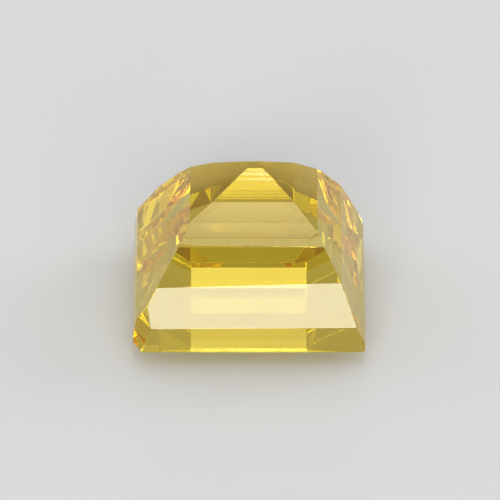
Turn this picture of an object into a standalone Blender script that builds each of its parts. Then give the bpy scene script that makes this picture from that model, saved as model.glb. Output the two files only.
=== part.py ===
"""A loose yellow sapphire, cut as a square step cut and lying on its table with the pavilion up.

Metres, +Z up. The origin is the middle of the stone's base: the table, its largest flat facet, lies on z = 0.
The front of the stone faces -Y and its right side faces +X.

The stone is made the way a cutter makes it. It starts as a block, and each facet is one flat cut that takes
away all of the block beyond a plane. The four sides are not quite alike, as on a stone cut by hand.
"""

import math

import bmesh
import bpy
from mathutils import Matrix, Vector

MM = 0.001

# Girdle, the widest part of the stone, in millimetres. Its upper edge is level, and its lower edge is not: the
# band is widest at the front and right, and the back has none, since its crown reaches up past the level edge
GIRDLE_WIDTH = 4.50
GIRDLE_DEPTH = 4.46
GIRDLE_UPPER_EDGE = 0.486
GIRDLE_LOWER_EDGE = {"front": 0.325, "back": 0.596, "left": 0.410, "right": 0.347}

# Crown, the shallow half of the stone below the girdle, with two rows of facets: how high the edge between
# them is, and how far inside the girdle it and the table's edge lie
CROWN_MIDDLE_HEIGHT = {"front": 0.173, "back": 0.138, "left": 0.170, "right": 0.174}
CROWN_MIDDLE_INSET = {"front": 0.530, "back": 0.405, "left": 0.515, "right": 0.520}
TABLE_INSET = {"front": 1.165, "back": 0.757, "left": 1.123, "right": 1.126}

# Pavilion, the deep half. Each side climbs from the girdle to the culet in five steps, and each step is given
# by its slope above the horizontal, in degrees, and by how far up it goes
PAVILION_STEPS = {
    "front": ((89.0, 0.375), (60.5, 0.733), (56.4, 0.637), (40.1, 0.577), (24.0, 0.324)),
    "back": ((77.5, 0.265), (65.2, 0.733), (52.2, 0.637), (44.3, 0.577), (34.2, 0.324)),
    "left": ((81.1, 0.371), (59.4, 0.708), (57.4, 0.987), (31.0, 0.243), (25.4, 0.337)),
    "right": ((69.1, 0.387), (68.3, 0.751), (59.2, 0.791), (41.0, 0.403), (27.4, 0.314)),
}
TOTAL_HEIGHT = 3.132

# Two of the front steps are turned a little about the vertical, in degrees, so the edge between them isn't
# quite level. The steps of the other sides are straight
FRONT_STEP_TURNS = (0.0, -0.23, -0.37, 0.0, 0.0)
STRAIGHT_STEPS = (0.0, 0.0, 0.0, 0.0, 0.0)

# Outward direction of each side, and how far out its girdle lies
SIDES = {
    "front": (Vector((0.0, -1.0, 0.0)), GIRDLE_DEPTH / 2),
    "back": (Vector((0.0, 1.0, 0.0)), GIRDLE_DEPTH / 2),
    "left": (Vector((-1.0, 0.0, 0.0)), GIRDLE_WIDTH / 2),
    "right": (Vector((1.0, 0.0, 0.0)), GIRDLE_WIDTH / 2),
}

# The front left corner is nipped off by one small sloping facet: its tilt towards each axis, and how deep it
# cuts below the point where the girdle's corner was
NIP_OUTWARD = Vector((-0.75, -0.65, 0.25)).normalized()
NIP_DEPTH = 0.165

# Colour of the crystal, with the finish of a polished facet
YELLOW = (0.85, 0.66, 0.10, 1.0)
POLISH_ROUGHNESS = 0.02
SAPPHIRE_IOR = 1.77


def cut_facet(stone, point, outward):
    """Takes away all of the stone beyond the plane, and closes the cut with one flat face."""
    whole = stone.verts[:] + stone.edges[:] + stone.faces[:]
    cut = bmesh.ops.bisect_plane(
        stone, geom=whole, dist=1e-5, plane_co=point, plane_no=outward, clear_outer=True
    )
    rim = [part for part in cut["geom_cut"] if isinstance(part, bmesh.types.BMEdge)]
    if len(rim) > 2:
        bmesh.ops.contextual_create(stone, geom=rim)


def rough_block():
    """The block that the stone is cut from: the girdle's plan, from the table's plane up to the culet's."""
    stone = bmesh.new()
    bmesh.ops.create_cube(stone, size=1.0)
    bmesh.ops.scale(stone, vec=(GIRDLE_WIDTH, GIRDLE_DEPTH, TOTAL_HEIGHT), verts=stone.verts)
    bmesh.ops.translate(stone, vec=(0.0, 0.0, TOTAL_HEIGHT / 2), verts=stone.verts)
    return stone


def cut_crown(stone, side):
    """Two facets on one side of the crown, from the girdle's lower edge in to the table."""
    out, reach = SIDES[side]
    edges = (
        (reach, GIRDLE_LOWER_EDGE[side]),
        (reach - CROWN_MIDDLE_INSET[side], CROWN_MIDDLE_HEIGHT[side]),
        (reach - TABLE_INSET[side], 0.0),
    )
    for (upper, upper_height), (lower, lower_height) in zip(edges, edges[1:]):
        outward = out * (upper_height - lower_height) - Vector((0.0, 0.0, upper - lower))
        cut_facet(stone, out * upper + Vector((0.0, 0.0, upper_height)), outward.normalized())


def cut_pavilion(stone, side):
    """Five facets on one side of the pavilion, each starting where the one below it ends."""
    straight_out, reach = SIDES[side]
    turns = FRONT_STEP_TURNS if side == "front" else STRAIGHT_STEPS
    height = max(GIRDLE_UPPER_EDGE, GIRDLE_LOWER_EDGE[side])
    for (slope, rise), turn in zip(PAVILION_STEPS[side], turns):
        angle = math.radians(slope)
        out = Matrix.Rotation(math.radians(turn), 3, "Z") @ straight_out
        outward = out * math.sin(angle) + Vector((0.0, 0.0, math.cos(angle)))
        cut_facet(stone, out * reach + Vector((0.0, 0.0, height)), outward)
        reach -= rise / math.tan(angle)
        height += rise


def cut_nip(stone):
    """The small facet across the front left corner, just over the girdle."""
    corner = Vector((-GIRDLE_WIDTH / 2, -GIRDLE_DEPTH / 2, GIRDLE_UPPER_EDGE))
    cut_facet(stone, corner - NIP_OUTWARD * NIP_DEPTH, NIP_OUTWARD)


def crystal_material():
    material = bpy.data.materials.new("yellow_sapphire")
    material.use_nodes = True
    shader = material.node_tree.nodes["Principled BSDF"]
    shader.inputs["Base Color"].default_value = YELLOW
    shader.inputs["Roughness"].default_value = POLISH_ROUGHNESS
    shader.inputs["Metallic"].default_value = 0.0
    shader.inputs["IOR"].default_value = SAPPHIRE_IOR
    shader.inputs["Transmission Weight"].default_value = 1.0
    return material


def make_sapphire():
    stone = rough_block()
    for side in SIDES:
        cut_crown(stone, side)
        cut_pavilion(stone, side)
    cut_nip(stone)
    bmesh.ops.remove_doubles(stone, verts=stone.verts, dist=1e-4)
    bmesh.ops.recalc_face_normals(stone, faces=stone.faces)
    bmesh.ops.scale(stone, vec=(MM, MM, MM), verts=stone.verts)
    mesh = bpy.data.meshes.new("sapphire")
    stone.to_mesh(mesh)
    stone.free()
    mesh.materials.append(crystal_material())
    sapphire = bpy.data.objects.new("sapphire", mesh)
    bpy.context.collection.objects.link(sapphire)
    return sapphire


for old in list(bpy.data.objects):
    bpy.data.objects.remove(old, do_unlink=True)
make_sapphire()
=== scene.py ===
# %% [markdown]
# # A loose yellow sapphire on a pale table top
#
# The real object is one clear crystal of corundum, cut as a square step cut. It lies on its table, the largest
# flat facet, so the deep half of the stone points up: five steps on each side climb to a tiny flat culet.
#
# A clear stone has almost no look of its own. What the eye sees are its facets, the light that they throw
# about inside, and the colour that the light picks up on its way. So this lesson makes the facets first, then
# gives the crystal its optical values, and last lights it the way a small studio does.

# %% Load the frame
import itertools
import math

import bpy
import numpy as np
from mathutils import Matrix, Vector


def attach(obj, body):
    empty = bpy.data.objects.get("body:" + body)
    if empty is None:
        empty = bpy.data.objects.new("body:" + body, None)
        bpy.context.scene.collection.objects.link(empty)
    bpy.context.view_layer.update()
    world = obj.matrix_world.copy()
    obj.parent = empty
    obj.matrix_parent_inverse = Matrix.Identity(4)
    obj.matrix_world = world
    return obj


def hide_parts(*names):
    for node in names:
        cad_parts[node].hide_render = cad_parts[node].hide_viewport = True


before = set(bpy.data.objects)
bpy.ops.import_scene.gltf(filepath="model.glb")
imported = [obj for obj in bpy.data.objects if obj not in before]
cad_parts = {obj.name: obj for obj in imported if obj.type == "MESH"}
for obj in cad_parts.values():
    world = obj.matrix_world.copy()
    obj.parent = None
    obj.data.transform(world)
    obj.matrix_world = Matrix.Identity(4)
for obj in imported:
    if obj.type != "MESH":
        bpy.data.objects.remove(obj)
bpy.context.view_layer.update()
MM = 0.001

# %% [markdown]
# ## The facets, as planes
#
# A cutter grinds a stone flat by flat, and each flat takes away all that lies beyond one plane. The frame's
# solid was cut in that way, so every facet is a plane that can be read back from it.
#
# The solid's mesh is loose triangles, and one facet may be several of them. Some are slivers, so thin that their
# own normal can't be trusted. They could be joined by hand in Edit Mode, but it is simpler to compare all the
# triangles at once: each belongs to the largest triangle whose plane holds all three of its corners, and that
# one, whose normal is the most exact, speaks for the facet. All sizes here are in millimetres.


# %% Read the facets back from the solid
ON_FACET = 0.0015


def facet_planes(node):
    """The planes n . p = d of a node's facets, in millimetres.

    The normal n of a triangle is the cross product of two of its edges, made one long, and d is n . corner. A
    triangle's gap to a plane is the largest |n . p - d| of its corners p.
    """
    node.data.calc_loop_triangles()
    points = np.zeros(len(node.data.vertices) * 3)
    node.data.vertices.foreach_get("co", points)
    triangles = np.zeros(len(node.data.loop_triangles) * 3, int)
    node.data.loop_triangles.foreach_get("vertices", triangles)
    corners = (points.reshape(-1, 3) / MM)[triangles.reshape(-1, 3)]
    a, b, c = corners.transpose(1, 0, 2)
    cross = np.cross(b - a, c - a)
    area = np.linalg.norm(cross, axis=1)
    normals = cross / area[:, None]
    distances = (normals * a).sum(axis=1)
    gap = abs(corners @ normals.T - distances).max(axis=1)
    speakers = np.unique(np.where(gap < ON_FACET, area, 0.0).argmax(axis=1))
    return normals[speakers], distances[speakers]


cut_normals, cut_distances = facet_planes(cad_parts["sapphire"])
print("facets of the stone:", len(cut_normals))

# %% [markdown]
# ## From planes to corners
#
# A convex stone is the set of points p with n . p <= d for every facet. Its corners are where three planes
# meet, but most meetings of three planes lie outside the stone, in what was ground away. A Boolean modifier
# for each cut would find them one by one. Here numpy solves the meeting points of all the threes of planes in
# one go, and keeps those that no plane cuts off.
#
# Where four or more planes meet, the same corner comes out several times, a hair apart. Such points count as
# one corner, or else the facets round it would not quite touch, and the stone would have a leak.


# %% Corners and outlines of a cut stone
CUT_SLACK = 1e-6
SAME_CORNER = 3e-4
ANY_WAY = (0.31, 0.52, 0.79)


def stone_corners(normals, distances):
    """The corners of the solid n . p <= d: the solutions of three equations n . p = d that lie in the solid."""
    threes = np.array(list(itertools.combinations(range(len(normals)), 3)))
    threes = threes[abs(np.linalg.det(normals[threes])) > CUT_SLACK]
    points = np.linalg.solve(normals[threes], distances[threes][..., None])[..., 0]
    return points[(points @ normals.T <= distances + CUT_SLACK).all(axis=1)]


def same_corners(points):
    """For each point, the number of the first point that is within a hair of it."""
    apart = np.linalg.norm(points[:, None] - points, axis=2)
    first = (apart < SAME_CORNER).argmax(axis=1)
    return first[first]


def facet_outline(normal, distance, points, speaker):
    """The corners on one plane, in order of their angle round the middle of the facet, seen from outside.

    The angle is measured from a line in the facet, square to its normal and to a direction that no facet faces.
    """
    on_facet = np.nonzero(abs(points @ normal - distance) < CUT_SLACK)[0]
    if len(on_facet) < 3:
        return []
    along = np.cross(normal, ANY_WAY)
    across = np.cross(normal, along)
    from_middle = points[on_facet] - points[on_facet].mean(axis=0)
    turn = np.arctan2(from_middle @ across, from_middle @ along)
    outline = list(dict.fromkeys(speaker[on_facet[np.argsort(turn)]].tolist()))
    return outline if len(outline) > 2 else []


cut_points = stone_corners(cut_normals, cut_distances)
cut_corners = cut_points[np.unique(same_corners(cut_points))]
print("corners of the cut stone:", len(cut_corners))

# %% [markdown]
# ## Worn junctions
#
# Where two facets meet, a real stone is never razor sharp: polishing rounds the junction a little, and it
# shows as a hairline of light. The Bevel modifier could round the mesh, but on cuts this flat its offsets run
# into each other. A junction is one more tiny cut, so the same maths does it: one narrow plane along each
# edge, half way between its two facets.


# %% Add a narrow plane along each junction
JUNCTION_WIDTH = 0.012


def junction_planes(normals, distances, corners, width):
    """A plane along each edge of the stone.

    Two facets that share two corners share an edge. The plane's normal is half way between theirs, and it
    lies width / 2 * tan(angle / 2) inside the edge, where angle is the one between the two normals.
    """
    touching = (abs(corners @ normals.T - distances) < SAME_CORNER).astype(int)
    one, other = np.nonzero(np.triu(touching.T @ touching, 1) >= 2)
    middle = normals[one] + normals[other]
    middle /= np.linalg.norm(middle, axis=1)[:, None]
    half_angle = np.arccos(np.clip((middle * normals[one]).sum(axis=1), -1.0, 1.0))
    depth = width / 2 * np.tan(half_angle)
    return middle, (corners @ middle.T).max(axis=0) - depth


worn_normals, worn_distances = junction_planes(cut_normals, cut_distances, cut_corners, JUNCTION_WIDTH)
all_normals = np.concatenate([cut_normals, worn_normals])
all_distances = np.concatenate([cut_distances, worn_distances])
points = stone_corners(all_normals, all_distances)
corner_of_point = same_corners(points)
print("junctions:", len(worn_normals), "corners of the worn stone:", len(np.unique(corner_of_point)))

# %% [markdown]
# ## The crystal
#
# The corners and outlines go straight into a mesh, with one face for each facet, so no facet is split and its
# shading stays dead flat. Each face keeps a number that says how dull it is: a polished facet, a worn junction
# or the ground girdle. The new piece stands where the solid is, and takes its place.
#
# Three materials would also tell the three kinds of face apart, but not on a solid that is coloured inside. A
# ray that goes in through one material and out through another would never leave the colour behind. So the
# crystal has one material, and the number on each face does the rest.

# %% Make the crystal's mesh
POLISHED, WORN, GROUND = 0.0, 0.6, 1.0
UPRIGHT = 1e-3

outlines = [facet_outline(n, d, points, corner_of_point) for n, d in zip(all_normals, all_distances)]
kept = np.array([bool(outline) for outline in outlines])
corners, renumbered = np.unique(corner_of_point, return_inverse=True)
faces = [renumbered[outline].tolist() for outline in outlines if outline]
dullness = np.where(abs(all_normals[:, 2]) < UPRIGHT, GROUND, POLISHED)
dullness[len(cut_normals):] = WORN

mesh = bpy.data.meshes.new("sapphire_crystal")
mesh.from_pydata((points[corners] * MM).tolist(), [], faces)
mesh.attributes.new("dullness", "FLOAT", "FACE").data.foreach_set("value", dullness[kept])
mesh.update()
crystal = bpy.data.objects.new("sapphire_crystal", mesh)
bpy.context.scene.collection.objects.link(crystal)
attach(crystal, "root")
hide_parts("sapphire")
for name, value in (("facets", POLISHED), ("girdle faces", GROUND), ("junctions", WORN)):
    print(name + ":", int((dullness[kept] == value).sum()))

# %% [markdown]
# ## Clear yellow crystal
#
# Sapphire is clear right through. Its yellow is not on the surface: light loses a little green and much blue
# with every millimetre that it travels inside, so a short way looks pale lemon and a long way looks gold. A
# coloured Base Color alone would tint a thin corner as much as the thick middle. Volume Absorption takes the
# colour away along the path, as the crystal does, so the facets get their own shades for nothing.
#
# The loss isn't quite even, though. The blue end of the light goes in the first tenth of a millimetre, and
# what is left of it is lost slowly. A faint tint in Base Color stands for that first, quick loss, and without
# it the longest ways through the stone would turn red before the shorter ones are golden. It has a pale and a
# deep value here, and the step after next spreads them over the stone.
#
# Its index of refraction is 1.77. That is high for a clear stone, and it is what turns most of the light back
# inside, off facets where window glass would let it through.

# %% Crystal material
SAPPHIRE_IOR = 1.77
ABSORPTION_DENSITY = 370.0
ABSORPTION_COLOUR = (0.992, 0.951, 0.027, 1.0)
PALE_FIRST_LOSS = (1.0, 0.88, 0.80, 1.0)
DEEP_FIRST_LOSS = (1.0, 0.85, 0.74, 1.0)

material = bpy.data.materials.new("clear_sapphire")
material.use_nodes = True
tree = material.node_tree
shader = tree.nodes["Principled BSDF"]
shader.inputs["IOR"].default_value = SAPPHIRE_IOR
shader.inputs["Transmission Weight"].default_value = 1.0
inside = tree.nodes.new("ShaderNodeVolumeAbsorption")
inside.inputs["Color"].default_value = ABSORPTION_COLOUR
inside.inputs["Density"].default_value = ABSORPTION_DENSITY
tree.links.new(inside.outputs["Volume"], tree.nodes["Material Output"].inputs["Volume"])
mesh.materials.append(material)

# %% [markdown]
# ## Polish, grinding and wear
#
# A polished facet looks perfect from arm's length. Close up it has faint parallel lines, left by the polishing
# wheel, and spots where it is a trace duller. The same two marks, only stronger, are on the girdle, which is
# ground and not polished, and on the worn junctions.
#
# A photo of scratches would do this for one view, but it has an end and a seam. Textures worked out from the
# object's own coordinates have neither, and the number on each face sets how strong they are there.

# %% Surface marks
LINES_PER_MM = 6.0
LINE_WAVER = 1.2
LINE_WAVER_SCALE = 0.6
LINE_DEPTH = 0.0005 * MM
POLISH_LINE_STRENGTH = 0.03
SPOTS_PER_MM = 1.7
SPOT_DETAIL = 4.0
SPOT_RANGE = (0.5, 0.75)
POLISH_SPOT_ROUGHNESS = 0.02
GROUND_ROUGHNESS = 0.14


def node(kind, operation=None, **values):
    """A new node, with its operation if it has one, and the given values on its inputs."""
    made = tree.nodes.new("ShaderNode" + kind)
    if operation:
        made.operation = operation
    for name, value in values.items():
        made.inputs[name.replace("_", " ")].default_value = value
    return made


def link(source, output, target, socket):
    tree.links.new(source.outputs[output], target.inputs[socket])


def strength(low, high):
    """A number that runs from low on a polished face to high on a ground one."""
    scaled = node("MapRange", To_Min=low, To_Max=high)
    link(dull_face, "Fac", scaled, "Value")
    return scaled


def times(one, one_output, other, other_output):
    product = node("Math", "MULTIPLY")
    link(one, one_output, product, 0)
    link(other, other_output, product, 1)
    return product


dull_face = node("Attribute")
dull_face.attribute_name = "dullness"
place = node("TexCoord")
in_mm = node("VectorMath", "SCALE", Scale=1 / MM)
link(place, "Object", in_mm, 0)

lines = node("TexWave", Scale=LINES_PER_MM, Distortion=LINE_WAVER, Detail_Scale=LINE_WAVER_SCALE)
lines.bands_direction = "Z"
link(in_mm, 0, lines, "Vector")
bump = node("Bump", Strength=1.0, Distance=LINE_DEPTH)
link(times(lines, "Fac", strength(POLISH_LINE_STRENGTH, 1.0), "Result"), 0, bump, "Height")
link(bump, "Normal", shader, "Normal")

spots = node("TexNoise", Scale=SPOTS_PER_MM, Detail=SPOT_DETAIL)
link(in_mm, 0, spots, "Vector")
spread = node("MapRange", From_Min=SPOT_RANGE[0], From_Max=SPOT_RANGE[1])
link(spots, "Fac", spread, "Value")
duller = times(spread, "Result", strength(POLISH_SPOT_ROUGHNESS, GROUND_ROUGHNESS), "Result")
rough = node("Math", "ADD")
link(duller, 0, rough, 0)
link(strength(0.0, GROUND_ROUGHNESS), "Result", rough, 1)
link(rough, 0, shader, "Roughness")
print("surface marks:", len(tree.nodes), "nodes so far")

# %% [markdown]
# ## Growth zones
#
# A natural sapphire grows in layers, and some of them take up a trace more colour than others. Where a cut
# goes through them, they show as faint, broad zones, a few across the stone. Zones painted by hand would have
# to match along every edge. A soft noise on the object's coordinates does that by itself, because it fills
# space, and a colour ramp turns it into the two values of the first loss.

# %% Colour zones
ZONES_PER_MM = 0.6
ZONE_RANGE = (0.35, 0.65)
ZONE_DETAIL = 1.0

zones = node("TexNoise", Scale=ZONES_PER_MM, Detail=ZONE_DETAIL)
link(in_mm, 0, zones, "Vector")
ramp = node("ValToRGB")
for stop, position, colour in zip(ramp.color_ramp.elements, ZONE_RANGE, (PALE_FIRST_LOSS, DEEP_FIRST_LOSS)):
    stop.position = position
    stop.color = colour
link(zones, "Fac", ramp, "Fac")
link(ramp, "Color", shader, "Base Color")
print("crystal material:", len(tree.nodes), "nodes")

# %% [markdown]
# ## Camera
#
# The stone is seen from the front and about a third of the way up, through a long lens, so its level edges
# stay nearly parallel. A short lens close by would splay them. The camera looks at a point a little above the
# middle of the stone's base.

# %% Camera
CAMERA_ELEVATION = math.radians(32.2)
CAMERA_DISTANCE = 214.5 * MM
CAMERA_AIM = Vector((0.02, 0.0, 1.266)) * MM
SENSOR_WIDTH = 36.0
LENS_OVER_SENSOR = 22.0
NEAREST_SEEN = 10 * MM
FARTHEST_SEEN = 10_000 * MM

camera_data = bpy.data.cameras.new("camera")
camera_data.sensor_width = SENSOR_WIDTH
camera_data.lens = SENSOR_WIDTH * LENS_OVER_SENSOR
camera_data.clip_start = NEAREST_SEEN
camera_data.clip_end = FARTHEST_SEEN
camera = bpy.data.objects.new("camera", camera_data)
back = Vector((0.0, -math.cos(CAMERA_ELEVATION), math.sin(CAMERA_ELEVATION)))
camera.location = CAMERA_AIM + back * CAMERA_DISTANCE
camera.rotation_euler = (math.pi / 2 - CAMERA_ELEVATION, 0.0, 0.0)
bpy.context.scene.collection.objects.link(camera)
bpy.context.scene.camera = camera

# %% [markdown]
# ## Pale card
#
# The stone lies on matt white card. Between the two, a real table facet rests on a few high spots, and the rest
# of it has a film of air under it. That film matters: from inside, air turns slanting light back up as a mirror
# does. So the card is a hair's breadth below the table, and does not touch it.

# %% Floor
FLOOR_HALF = 600 * MM
AIR_GAP = 0.02 * MM
CARD_WHITE = 0.95
CARD_ROUGHNESS = 0.9

floor_mesh = bpy.data.meshes.new("floor")
square = np.array([(-1, -1, 0), (1, -1, 0), (1, 1, 0), (-1, 1, 0)], float) * FLOOR_HALF
floor_mesh.from_pydata((square - (0, 0, AIR_GAP)).tolist(), [], [(0, 1, 2, 3)])
floor = bpy.data.objects.new("floor", floor_mesh)
bpy.context.scene.collection.objects.link(floor)

paper = bpy.data.materials.new("pale_card")
paper.use_nodes = True
card = paper.node_tree.nodes["Principled BSDF"]
card.inputs["Specular IOR Level"].default_value = 0.0
card.inputs["Roughness"].default_value = CARD_ROUGHNESS
card.inputs["Base Color"].default_value = (CARD_WHITE, CARD_WHITE, CARD_WHITE, 1.0)
floor_mesh.materials.append(paper)

# %% [markdown]
# ## Studio light
#
# A clear stone shows its surroundings twice: mirrored on its facets, and bent through them. An even white
# sky would show the same white everywhere, and the facets would melt into each other. So the surroundings are
# a dim, even tent, with soft boxes standing round the stone. Each box lights the facets that face it, and the
# dark between the boxes draws the facets apart.
#
# The strip in front is what makes the big front facet white, and the two high boxes there brighten the steps
# above it. The boxes at the back are seen through the stone. The high one makes the bright gold band just above
# the big facet, and the two below it light the narrow facet under it.

# %% Tent and soft boxes
TENT_BRIGHTNESS = 0.33
BOX_DISTANCE = 450 * MM
# azimuth from the camera's side towards the right, elevation, width and height in degrees, and brightness
SOFT_BOXES = {
    "front_middle": (345.0, 21.5, 15.0, 13.0, 6.7),
    "front_strip": (8.0, 26.0, 30.0, 4.0, 3.4),
    "front_right": (22.0, 23.5, 30.0, 17.0, 1.15),
    "front_wide": (352.0, 26.0, 30.0, 12.0, 0.35),
    "front_high": (352.0, 68.0, 30.0, 24.0, 0.7),
    "front_tall": (15.0, 28.0, 15.0, 56.0, 0.7),
    "front_top": (0.0, 59.0, 15.0, 42.0, 0.4),
    "right_tall": (112.0, 21.5, 30.0, 33.0, 0.9),
    "right_back": (135.0, 31.0, 15.0, 14.0, 0.9),
    "left_tall": (240.0, 21.5, 45.0, 33.0, 0.3),
    "back_low": (180.0, 12.5, 15.0, 15.0, 0.25),
    "back_foot": (180.0, 7.5, 15.0, 5.0, 6.4),
    "back_middle": (172.0, 26.0, 30.0, 12.0, 0.2),
    "back_high": (195.0, 47.0, 45.0, 18.0, 0.35),
    "back_top": (172.0, 74.0, 30.0, 12.0, 1.5),
}

world = bpy.data.worlds.new("studio")
bpy.context.scene.world = world
world.use_nodes = True
world.node_tree.nodes["Background"].inputs["Color"].default_value = (1.0, 1.0, 1.0, 1.0)
world.node_tree.nodes["Background"].inputs["Strength"].default_value = TENT_BRIGHTNESS


def soft_box(name, azimuth, elevation, width, height, brightness):
    """A rectangular light that faces the stone, with its width and height given as the stone sees them.

    A side is 2 * distance * tan(angle / 2). The width is a turn round the vertical, so it shrinks by the cosine
    of the elevation. The power is pi * area * brightness, so brightness 1 looks as white as a white sky.
    """
    turn, rise = math.radians(azimuth), math.radians(elevation)
    light = bpy.data.lights.new("light_" + name, "AREA")
    light.shape = "RECTANGLE"
    light.size = 2 * BOX_DISTANCE * math.tan(math.radians(width) / 2) * math.cos(rise)
    light.size_y = 2 * BOX_DISTANCE * math.tan(math.radians(height) / 2)
    light.energy = math.pi * light.size * light.size_y * brightness
    outward = Vector((math.cos(rise) * math.sin(turn), -math.cos(rise) * math.cos(turn), math.sin(rise)))
    box = bpy.data.objects.new("light_" + name, light)
    box.location = outward * BOX_DISTANCE
    box.rotation_euler = outward.to_track_quat("Z", "Y").to_euler()
    box.visible_camera = False
    bpy.context.scene.collection.objects.link(box)


for name, values in SOFT_BOXES.items():
    soft_box(name, *values)
print("soft boxes:", ", ".join(SOFT_BOXES))

# %% [markdown]
# ## Render settings
#
# Light that is caught in the stone may turn a dozen times before it leaves, so the number of bounces is high.
# With the usual number, the deepest facets would go dark. The limit on bright indirect light is off for a like
# reason: it would dim the boxes that are seen through the stone.
#
# A camera deepens the shades and lifts the lights a little, and so does the High Contrast look. It makes the
# gold rich without a stronger colour in the crystal.
#
# What noise is left is smoothed away after the render. Noise with an even spacing, as the usual pattern has, can
# pass for a fine texture of the big front facet and is kept, so the plain, irregular pattern is better here.

# %% View
CLEAR_BOUNCES = 48
CARD_BOUNCES = 8

scene = bpy.context.scene
scene.view_settings.view_transform = "Standard"
scene.view_settings.look = "High Contrast"
scene.cycles.max_bounces = CLEAR_BOUNCES
scene.cycles.transmission_bounces = CLEAR_BOUNCES
scene.cycles.glossy_bounces = CLEAR_BOUNCES
scene.cycles.diffuse_bounces = CARD_BOUNCES
scene.cycles.sample_clamp_indirect = 0.0
scene.cycles.sampling_pattern = "TABULATED_SOBOL"
